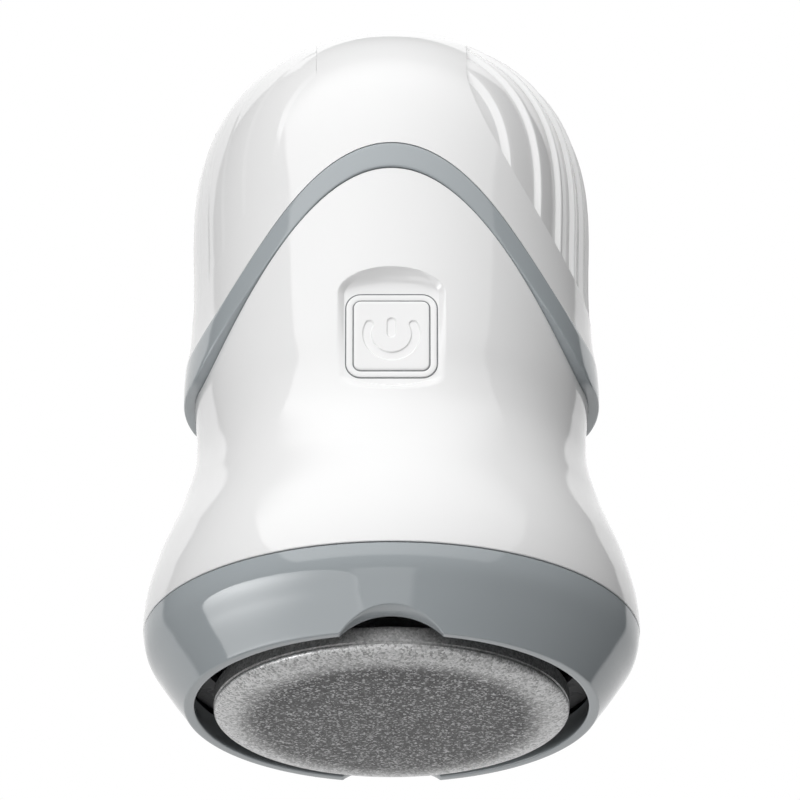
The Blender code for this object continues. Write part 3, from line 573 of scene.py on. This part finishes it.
def make_trim_band():
    """A low wall round the cover with rounded edges, which turn in at both seams."""
    theta = np.linspace(0.0, 2 * math.pi, 720, endpoint=False)
    low = band_height(theta, BAND_LOW_SIDE_Z, BAND_LOW_RISE) + SEAM
    top = band_height(theta, BAND_TOP_SIDE_Z, BAND_TOP_RISE) - SEAM
    soft = 0.35 * MM
    foot = 0.15 * MM
    rounding = (0.0, 0.3, 0.6, 1.0)
    rows = [around(theta, upper_radius(low) - 2.2 * MM, low), around(theta, upper_radius(low) - foot, low)]
    for angle in (share * math.pi / 2 for share in rounding):
        z = low + soft * (1 - math.cos(angle))
        rows.append(around(theta, upper_radius(z) + BAND_PROUD * math.sin(angle), z))
    for share in np.linspace(0.0, 1.0, 9)[1:-1]:
        z = low + soft + (top - low - 2 * soft) * share
        rows.append(around(theta, upper_radius(z) + BAND_PROUD, z))
    for angle in (share * math.pi / 2 for share in reversed(rounding)):
        z = top - soft * (1 - math.cos(angle))
        rows.append(around(theta, upper_radius(z) + BAND_PROUD * math.sin(angle), z))
    rows += [around(theta, upper_radius(top) - foot, top), around(theta, upper_radius(top) - 1.6 * MM, top)]
    points = np.stack(rows)
    new_piece("trim_band_skin", points.reshape(-1, 3), grid_faces(*points.shape[:2], True), BLUE_GREY,
              "housing", ("trim_band",))


def recess_share(x, z):
    """How far a point of the front is sunk to the recess floor, 0 to 1."""
    arch_z = BUTTON_Z + BEZEL_SIZE / 2
    sill_z = BUTTON_Z - BEZEL_SIZE / 2 + 0.2 * MM
    across = np.abs(x) / RECESS_HALF_WIDTH
    up = np.clip((z - arch_z) / RECESS_ARCH, 0.0, None)
    down = np.clip((sill_z - z) / RECESS_SILL, 0.0, None)
    reach = np.sqrt(across ** 2 + up ** 2 + down ** 2)
    scoop = np.clip((1.0 - reach) / RECESS_SCOOP_SHARE, 0.0, 1.0)
    scoop = 1.0 - (1.0 - scoop) ** 3
    softness = RECESS_EDGE_SHARE + RECESS_SILL_SHARE * np.clip(down, 0.0, 1.0)
    flat = np.clip((1.0 - reach) / softness, 0.0, 1.0)
    blend = ramp(up, 0.0, 0.8)
    return scoop * blend + flat * (1.0 - blend)


def make_lower_housing():
    """From the collar's seam to the trim band, with the button's recess and the charging port."""
    theta = azimuths(20.0, 1.5, 0.22)
    top = band_height(theta, BAND_LOW_SIDE_Z, BAND_LOW_RISE) - SEAM
    bottom = SEAM_Z + SEAM
    # closer together where the button and the port are
    share = np.concatenate([np.linspace(0.0, 0.38, 34, endpoint=False),
                            np.linspace(0.38, 0.78, 170, endpoint=False), np.linspace(0.78, 1.0, 30)])
    z = bottom + (top[None, :] - bottom) * share[:, None]
    radius = lower_radius(z)
    points = around(theta[None, :], radius, z)
    x, y = points[..., 0], points[..., 1]
    sunk = np.maximum(RECESS_FLOOR_Y - y, 0.0) * recess_share(x, z)
    points[..., 1] = np.where(y < -20.0 * MM, y + sunk, y)
    # rounded into the seam below, and turned in at both seams
    under = np.stack([around(theta, radius[0] - 1.8 * MM, z[0]),
                      around(theta, radius[0] - SEAM_ROUNDING, z[0])])
    points[0] = around(theta, lower_radius(z[0] + SEAM_ROUNDING), z[0] + SEAM_ROUNDING)
    over = around(theta, radius[-1] - 1.6 * MM, z[-1])[None]
    points = np.concatenate([under, points, over])
    faces = grid_faces(*points.shape[:2], True)
    # vertices near the port's outline move onto it, and the faces inside go
    verts, inside = snap_to_port(points.reshape(-1, 3))
    faces = [face for face in faces if not all(inside[i] for i in face)]
    piece = new_piece("lower_housing_skin", verts, faces, WHITE, "housing",
                      ("lower_housing",))
    add_skirt(piece, 2.0 * MM, away_from_port)


def port_distance(x, z):
    """Signed distance from the port's outline: negative inside."""
    radius = PORT_HEIGHT / 2
    reach = PORT_WIDTH / 2 - radius
    beyond = np.maximum(np.abs(x) - reach, 0.0)
    return np.hypot(beyond, z - SOCKET_Z) - radius


def away_from_port(edge):
    point = edge.verts[0].co
    return abs(port_distance(point.x, point.z)) > 0.4 * MM


def snap_to_port(points):
    """The points, with those near the port's outline moved onto it, and which of them lie inside."""
    x, y, z = points[:, 0], points[:, 1], points[:, 2]
    behind = y > 30.0 * MM
    distance = port_distance(x, z)
    near = behind & (np.abs(distance) < PORT_SNAP)
    step = 0.01 * MM
    slope_x = (port_distance(x + step, z) - port_distance(x - step, z)) / (2 * step)
    slope_z = (port_distance(x, z + step) - port_distance(x, z - step)) / (2 * step)
    moved = points.copy()
    moved[:, 0] = np.where(near, x - distance * slope_x, x)
    moved[:, 2] = np.where(near, z - distance * slope_z, z)
    inside = behind & (distance < PORT_SNAP)
    return moved, inside


def notch_height(x):
    """How far the finger notch lifts the lip at distance x from the middle plane."""
    radius = (NOTCH_HALF_WIDTH ** 2 + NOTCH_HEIGHT ** 2) / (2 * NOTCH_HEIGHT)
    inside = np.maximum(radius ** 2 - np.minimum(np.abs(x), radius) ** 2, 0.0)
    return np.maximum(np.sqrt(inside) - (radius - NOTCH_HEIGHT), 0.0)


def make_head_collar():
    """From the seam down the outside, round the lip with its two finger notches, and up the inside."""
    theta = azimuths(18.0, 0.75, 0.25)
    seam = SEAM_Z - SEAM
    seam_r = lower_radius(np.full_like(theta, seam))
    # a notch's height depends on x, and so on the radius, which depends on the height
    lip = LIP_Z + notch_height(LOWER_KNOTS_MM[0][1] * MM * np.sin(theta))
    for _ in range(20):
        lip = LIP_Z + notch_height(lower_radius(lip) * np.sin(theta))
    inner_lip = LIP_Z + notch_height(COLLAR_MOUTH_R * np.sin(theta)) * INNER_NOTCH_SHARE
    fillet = 0.28 * MM
    taper = 0.1 * MM
    rows = [around(theta, seam_r - 1.8 * MM, seam), around(theta, seam_r - SEAM_ROUNDING, seam)]
    for share in np.linspace(1.0, 0.0, 40):
        z = lip + fillet + (seam - SEAM_ROUNDING - lip - fillet) * share
        rows.append(around(theta, lower_radius(z), z))
    edge_r = lower_radius(lip + fillet)
    for angle in np.radians([30, 60, 90]):
        radius = edge_r - fillet * (1 - math.cos(angle)) - taper * math.sin(angle)
        rows.append(around(theta, radius, lip + fillet * (1 - math.sin(angle))))
    for share in (0.25, 0.5, 0.75):
        radius = (edge_r - fillet - taper) * (1 - share) + (COLLAR_MOUTH_R + fillet) * share
        rows.append(around(theta, radius, lip * (1 - share) + inner_lip * share))
    for angle in np.radians([0, 30, 60, 90]):
        radius = COLLAR_MOUTH_R + fillet * (1 - math.sin(angle))
        rows.append(around(theta, radius, inner_lip + fillet * (1 - math.cos(angle))))
    for share in np.linspace(0.1, 1.0, 8):
        z = inner_lip + fillet + (COLLAR_THROAT_Z - inner_lip - fillet) * share
        rows.append(around(theta, COLLAR_MOUTH_R + COLLAR_FLARE * ramp(z, LIP_Z, COLLAR_THROAT_Z), z))
    for radius, z in COLLAR_BACK_MM:
        rows.append(around(theta, radius * MM, z * MM))
    points = np.stack(rows)
    new_piece("head_collar_skin", points.reshape(-1, 3), grid_faces(*points.shape[:2], True, flip=True),
              BLUE_GREY, "housing", ("head_collar",))


# ---------------------------------------------------------------- button

def loft(name, loops, material, body, replaced=()):
    """Skin through loops of equal length, from the back to the front, open at both ends."""
    verts = [point for loop in loops for point in loop]
    faces = grid_faces(len(loops), len(loops[0]), True, flip=True)
    new_piece(name, verts, faces, material, body, replaced, 30.0)


def make_bezel():
    inner_size = BUTTON_SIZE + 0.28 * MM
    soft = 0.22 * MM
    front, back = BEZEL_FRONT_Y, -30.0 * MM
    outside = [(BEZEL_SIZE, back), (BEZEL_SIZE, front + soft),
               (BEZEL_SIZE - 0.6 * soft, front + 0.3 * soft), (BEZEL_SIZE - 2 * soft, front)]
    inside = [(inner_size + 2 * soft, front), (inner_size + 0.6 * soft, front + 0.3 * soft),
              (inner_size, front + soft), (inner_size, back)]
    loops = [square_loop(size, 2.5 * MM - (BEZEL_SIZE - size) / 2, y, BUTTON_Z) for size, y in outside]
    loops += [square_loop(size, 1.38 * MM + (size - inner_size) / 2, y, BUTTON_Z) for size, y in inside]
    loft("button_bezel_ring", loops, WHITE, "housing", ("button_bezel",))


def make_cap():
    """The cap's sides and the margin of its face; the sign's piece fills the middle."""
    front = BUTTON_FRONT_Y
    margin = BUTTON_SIZE / 2 - SYMBOL_FIELD
    steps = [(0.0, -30.7 * MM), (0.0, front + 0.3 * MM), (0.06 * MM, front + 0.12 * MM),
             (0.2 * MM, front + 0.03 * MM), (0.45 * MM, front), (margin, front)]
    loops = [square_loop(BUTTON_SIZE - 2 * inset, 1.2 * MM * (1 - inset / margin) + 0.001 * MM, y, BUTTON_Z)
             for inset, y in steps]
    loft("power_button_cap", loops, WHITE, "power_button", ("power_button",))


def make_gap_shade_ring(name, size, corner, front_y):
    """A thin grey ring in the gap round a square piece: painted shade where the gap's shadow falls."""
    width, depth = 0.18 * MM, 0.8 * MM
    outside, inside = (size + width, corner + width / 2), (size - width, corner - width / 2)
    loops = [square_loop(*outside, front_y + depth, BUTTON_Z), square_loop(*outside, front_y, BUTTON_Z),
             square_loop(*inside, front_y, BUTTON_Z), square_loop(*inside, front_y + depth, BUTTON_Z)]
    loft(name, loops, SILICONE_AND_GAP_SHADE, "housing")


def make_power_symbol():
    """The middle of the button's face, with the sign for power sunk into it."""
    steps = np.linspace(-SYMBOL_FIELD, SYMBOL_FIELD, 181)
    x, z = np.meshgrid(steps, steps)
    # distance to the open ring, which ends level with ARC_END_ANGLE on both sides
    up = z - ARC_RISE
    on_arc = np.abs(np.hypot(x, up) - ARC_RADIUS)
    tip_x, tip_up = ARC_RADIUS * math.cos(ARC_END_ANGLE), ARC_RADIUS * math.sin(ARC_END_ANGLE)
    to_tip = np.hypot(np.abs(x) - tip_x, up - tip_up)
    to_arc = np.where(np.arctan2(up, np.abs(x)) < ARC_END_ANGLE, on_arc, to_tip)
    to_bar = np.hypot(x, z - np.clip(z, BAR_LOW_Z, BAR_TOP_Z))
    outside = ramp(np.minimum(to_arc, to_bar), STROKE_HALF_WIDTH - 0.18 * MM, STROKE_HALF_WIDTH + 0.04 * MM)
    depth = SYMBOL_DEPTH * (1.0 - outside)
    points = np.stack([x, BUTTON_FRONT_Y + depth, BUTTON_Z + z], axis=-1)
    new_piece("power_button_face", points.reshape(-1, 3), grid_faces(len(steps), len(steps)), WHITE,
              "power_button", (), 60.0)


def make_button():
    make_bezel()
    make_cap()
    make_power_symbol()
    # grey rings that paint the shadow in the gaps round the cap and round the bezel
    make_gap_shade_ring("cap_gap_shade", BUTTON_SIZE + 0.2 * MM, 1.3 * MM, BEZEL_FRONT_Y + 0.12 * MM)
    make_gap_shade_ring("bezel_gap_shade", BEZEL_SIZE + 0.2 * MM, 2.6 * MM, RECESS_FLOOR_Y - 0.03 * MM)


# ---------------------------------------------------------------- grinding disc

def make_grinding_disc():
    """Flat face, domed edge, a shallow groove and a straight side, turned about the axis."""
    flat_r, edge_r = 13.0 * MM, 24.0 * MM
    sag, edge_z = 0.3 * MM, 2.0 * MM
    profile = [(r, 0.0) for r in np.linspace(0.0, flat_r, 24)]
    for r in np.linspace(flat_r, edge_r, 22)[1:]:
        profile.append((r, sag * ((r - flat_r) / (edge_r - flat_r)) ** 2))
    for angle in np.linspace(0.0, math.pi / 2, 22)[1:]:
        z = sag + (edge_z - sag) * (1 - math.cos(angle))
        profile.append((edge_r + (DISC_R - edge_r) * math.sin(angle), z))
    profile += [(DISC_R - depth * MM, z * MM) for depth, z in DISC_GROOVE_MM]
    profile += [(DISC_R, z * MM) for z in np.linspace(2.7, 4.9, 8)]
    profile += [(DISC_R - depth * MM, z * MM) for depth, z in DISC_BACK_MM]
    theta = np.linspace(0.0, 2 * math.pi, 420, endpoint=False)
    points = np.stack([around(theta, r, z) for r, z in profile])
    new_piece("abrasive_skin", points.reshape(-1, 3), grid_faces(*points.shape[:2], True), GRIT,
              "grinding_disc", ("abrasive_pad",), 40.0)


# ---------------------------------------------------------------- studio

class LightMap:
    """Builds the brightness of the studio, direction by direction, from node arithmetic."""

    def __init__(self, tree):
        self.tree = tree
        coords = tree.nodes.new("ShaderNodeTexCoord")
        self.direction = coords.outputs["Generated"]
        split = tree.nodes.new("ShaderNodeSeparateXYZ")
        tree.links.new(self.direction, split.inputs["Vector"])
        self.x, self.y, self.z = split.outputs
        backwards = self.math("MULTIPLY", self.y, -1.0)
        self.azimuth = self.math("DEGREES", self.math("ARCTAN2", self.x, backwards))
        self.elevation = self.math("DEGREES", self.math("ARCSINE", self.z))

    def math(self, operation, *values):
        return calculate(self.tree, operation, *values)

    def dot(self, vector):
        node = self.tree.nodes.new("ShaderNodeVectorMath")
        node.operation = "DOT_PRODUCT"
        self.tree.links.new(self.direction, node.inputs[0])
        node.inputs[1].default_value = vector
        return node.outputs["Value"]

    def step(self, value, low, high, start=0.0, stop=1.0):
        """From start to stop, smoothly, as the value goes from low to high."""
        node = add_map(self.tree, value, low, high)
        node.interpolation_type = "SMOOTHSTEP"
        node.inputs["To Min"].default_value = start
        node.inputs["To Max"].default_value = stop
        return node.outputs["Result"]

    def band(self, value, low, high, soft):
        """1 between low and high, with edges of half width soft."""
        rise = self.step(value, low - soft, low + soft)
        fall = self.step(value, high - soft, high + soft, 1.0, 0.0)
        return self.math("MULTIPLY", rise, fall)

    def offset(self, value, middle, half):
        """How far the value is from the middle, as a share of half the width."""
        return self.math("DIVIDE", self.math("SUBTRACT", value, middle), half)

    def rounded_box(self, across, up):
        """1 inside a box with very round corners, 0 outside; both offsets are 1 at its edges."""
        across_power = self.math("POWER", self.math("ABSOLUTE", across), BOX_ROUNDNESS)
        up_power = self.math("POWER", self.math("ABSOLUTE", up), BOX_ROUNDNESS)
        return self.step(self.math("ADD", across_power, up_power), 0.93, 1.07, 1.0, 0.0)

    def distance(self, across, up):
        squares = [self.math("MULTIPLY", offset, offset) for offset in (across, up)]
        return self.math("SQRT", self.math("ADD", *squares))

    def product(self, *values):
        total = values[0]
        for value in values[1:]:
            total = self.math("MULTIPLY", total, value)
        return total


def key_light(maps):
    """The large softbox above the front, brighter to the left: its shape, and its brightness."""
    tilt = math.radians(KEY_TILT)
    facing = maps.dot((0.0, -math.cos(tilt), math.sin(tilt)))
    upward = maps.dot((0.0, math.sin(tilt), math.cos(tilt)))
    ahead = maps.math("MAXIMUM", facing, 0.05)
    across = maps.math("DIVIDE", maps.x, ahead)
    along = maps.math("DIVIDE", upward, ahead)
    above = maps.step(maps.elevation, -8.0, -2.0)
    in_front = maps.step(facing, 0.04, 0.06)
    shape = maps.product(maps.band(across, -KEY_HALF_WIDTH, KEY_HALF_WIDTH, 0.05), in_front, above)
    level = maps.product(maps.step(across, -KEY_HALF_WIDTH, KEY_HALF_WIDTH, KEY_LEFT, KEY_RIGHT),
                         maps.step(along, 0.45, 1.25, 1.0, 0.0))
    return shape, maps.product(shape, level)


def sweep_light(maps, key_shape):
    """The white sweep behind the object."""
    beside = maps.math("SUBTRACT", 1.0, key_shape)
    turned_away = maps.math("ABSOLUTE", maps.math("SUBTRACT", maps.azimuth, SWEEP_SHIFT))
    shape = maps.product(beside, maps.step(maps.elevation, -50.0, -40.0),
                         maps.step(turned_away, SWEEP_EDGE - 2.0, SWEEP_EDGE + 2.0))
    return maps.math("MULTIPLY", shape, SWEEP_LEVEL)


def low_light(maps):
    """The box low on the left, brightest near its far upper end, whose upper edge falls to the front."""
    slant = maps.math("MULTIPLY_ADD", maps.azimuth, LOW_SLANT, LOW_RISE)
    raised = maps.math("ADD", maps.elevation, slant)
    shape = maps.rounded_box(maps.offset(maps.azimuth, -61.0, 43.0), maps.offset(raised, -33.0, 19.5))
    from_spot = maps.distance(maps.offset(maps.azimuth, -76.0, 34.0), maps.offset(raised, -20.0, 14.0))
    return maps.product(shape, maps.step(from_spot, 0.0, 1.3, SPOT_LEVEL, LOW_LEVEL))


def apron_light(maps):
    """A small reflector under the front."""
    shape = maps.product(maps.band(maps.azimuth, -20.0, 12.0, 2.5),
                         maps.band(maps.elevation, -60.0, -33.0, 2.5))
    return maps.math("MULTIPLY", shape, APRON_LEVEL)


def make_world():
    world = bpy.data.worlds.new("studio_world")
    bpy.context.scene.world = world
    world.use_nodes = True
    tree = world.node_tree
    maps = LightMap(tree)
    key_shape, key = key_light(maps)
    below = maps.step(maps.elevation, -65.0, -45.0, BELOW_LEVEL, 0.0)
    level = FILL
    for part in (key, sweep_light(maps, key_shape), low_light(maps), apron_light(maps), below):
        level = maps.math("ADD", level, part)
    light = tree.nodes["Background"]
    tree.links.new(level, light.inputs["Strength"])
    light.inputs["Color"].default_value = (1.0, 1.0, 1.0, 1.0)

    # the camera itself sees plain white behind the object
    white = tree.nodes.new("ShaderNodeBackground")
    white.inputs["Color"].default_value = (1.0, 1.0, 1.0, 1.0)
    rays = tree.nodes.new("ShaderNodeLightPath")
    chooser = tree.nodes.new("ShaderNodeMixShader")
    tree.links.new(rays.outputs["Is Camera Ray"], chooser.inputs["Fac"])
    tree.links.new(light.outputs["Background"], chooser.inputs[1])
    tree.links.new(white.outputs["Background"], chooser.inputs[2])
    tree.links.new(chooser.outputs["Shader"], tree.nodes["World Output"].inputs["Surface"])


def make_floor():
    """A pale floor far enough below for the camera to look up from over it."""
    bpy.ops.mesh.primitive_plane_add(size=FLOOR_SIZE, location=(0.0, 0.0, FLOOR_Z))
    floor = bpy.context.active_object
    floor.name = "floor"
    floor.visible_diffuse = False
    floor.visible_glossy = False
    paint, tree, shader = new_material("floor_paint")
    haze = add_noise(tree, 3.0, 2.0)
    tint = add_ramp(tree, haze.outputs["Fac"], [(0.3, grey(0.86)), (0.7, grey(0.88))])
    tree.links.new(tint, shader.inputs["Base Color"])
    shader.inputs["Roughness"].default_value = 0.8
    floor.data.materials.append(paint)


def make_camera():
    """Below the front, looking up at the head."""
    below = math.radians(CAMERA_BELOW)
    data = bpy.data.cameras.new("camera")
    data.sensor_width = 36.0
    data.lens = CAMERA_LENS
    data.shift_x = CAMERA_SHIFT_X
    data.clip_start, data.clip_end = 0.05, 50.0
    camera = bpy.data.objects.new("camera", data)
    camera.location = (0.0, -CAMERA_DISTANCE * math.cos(below), LIP_Z - CAMERA_DISTANCE * math.sin(below))
    camera.rotation_euler = (math.radians(90.0 + CAMERA_UP), 0.0, 0.0)
    bpy.context.scene.collection.objects.link(camera)
    bpy.context.scene.camera = camera


bpy.context.scene.view_settings.view_transform = "Standard"
make_camera()
make_world()
make_floor()
dress_cad_nodes()
make_upper_cover()
make_grip(-1, "left", LEFT_RIB_HEIGHT)
make_grip(1, "right", RIB_HEIGHT)
make_trim_band()
make_lower_housing()
make_head_collar()
make_button()
make_grinding_disc()
